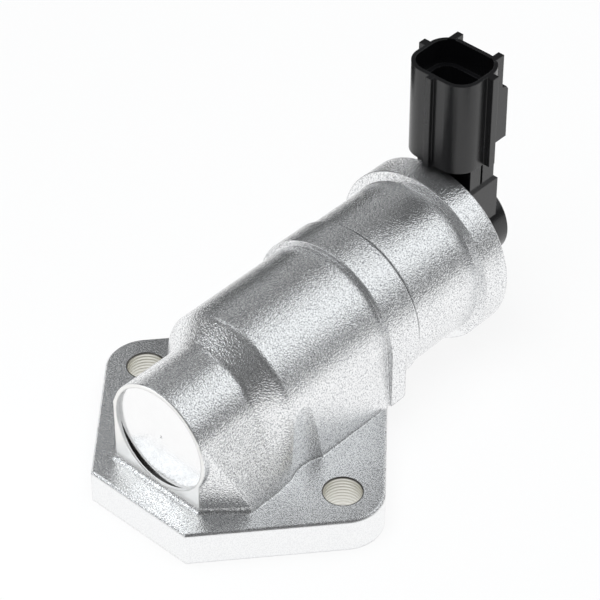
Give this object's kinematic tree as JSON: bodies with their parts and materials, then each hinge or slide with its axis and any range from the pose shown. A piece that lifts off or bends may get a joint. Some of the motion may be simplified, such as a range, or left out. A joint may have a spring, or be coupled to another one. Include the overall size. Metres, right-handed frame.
{
  "type": "idle air control valve",
  "caption": "solenoid idle air control valve with a cast aluminium body, a hexagonal mounting flange with rounded ends, two air ports and an upright two-pole plug socket",
  "frame": {"origin": "on the mounting face, midway between the two bolt holes", "axes": "+X along the line of bolt holes, +Y along the valve axis from the plugged nose to the plug socket, +Z out of the mounting face towards the socket mouth"},
  "size_m": [0.0812, 0.1171, 0.0734],
  "materials": {
    "body_aluminium": "shot-blasted die casting, bright silver with fine grain",
    "plug_aluminium": "machined flat, bright",
    "brass": "turned",
    "steel": "ground or drawn, bright",
    "iron": "zinc-plated soft iron",
    "bobbin_plastic": "moulded, dark grey",
    "coil_wire": "enamelled copper wire",
    "seal_rubber": "moulded black rubber",
    "black_plastic": "moulded glass-filled plastic, satin black",
    "terminal_plate": "tin-plated brass blade"
  },
  "bodies": {
    "housing": {"valve_body": "body_aluminium", "end_plug": "plug_aluminium", "seat_ring": "brass", "front_bush": "brass", "rear_bush": "brass", "yoke_can": "iron", "front_flux_washer": "iron", "guide_tube": "brass", "bobbin": "bobbin_plastic", "coil_winding": "coil_wire", "pole_core": "iron", "return_spring": "steel", "adjuster_screw": "brass", "adjuster_seal": "seal_rubber", "cap_seal": "seal_rubber", "connector_cap": "black_plastic", "terminal_a": "terminal_plate", "terminal_b": "terminal_plate"},
    "plunger": {"valve_stem": "steel", "poppet": "brass", "poppet_clip": "steel", "armature": "iron"}
  },
  "joints": [
    {"name": "plunger_slide", "type": "slide", "parent": "housing", "child": "plunger", "axis": [0, 1, 0], "range_m": [0, 0.004], "stiffness_N_per_m": 800, "springref_m": -0.003, "deforming": ["return_spring"]}
  ]
}
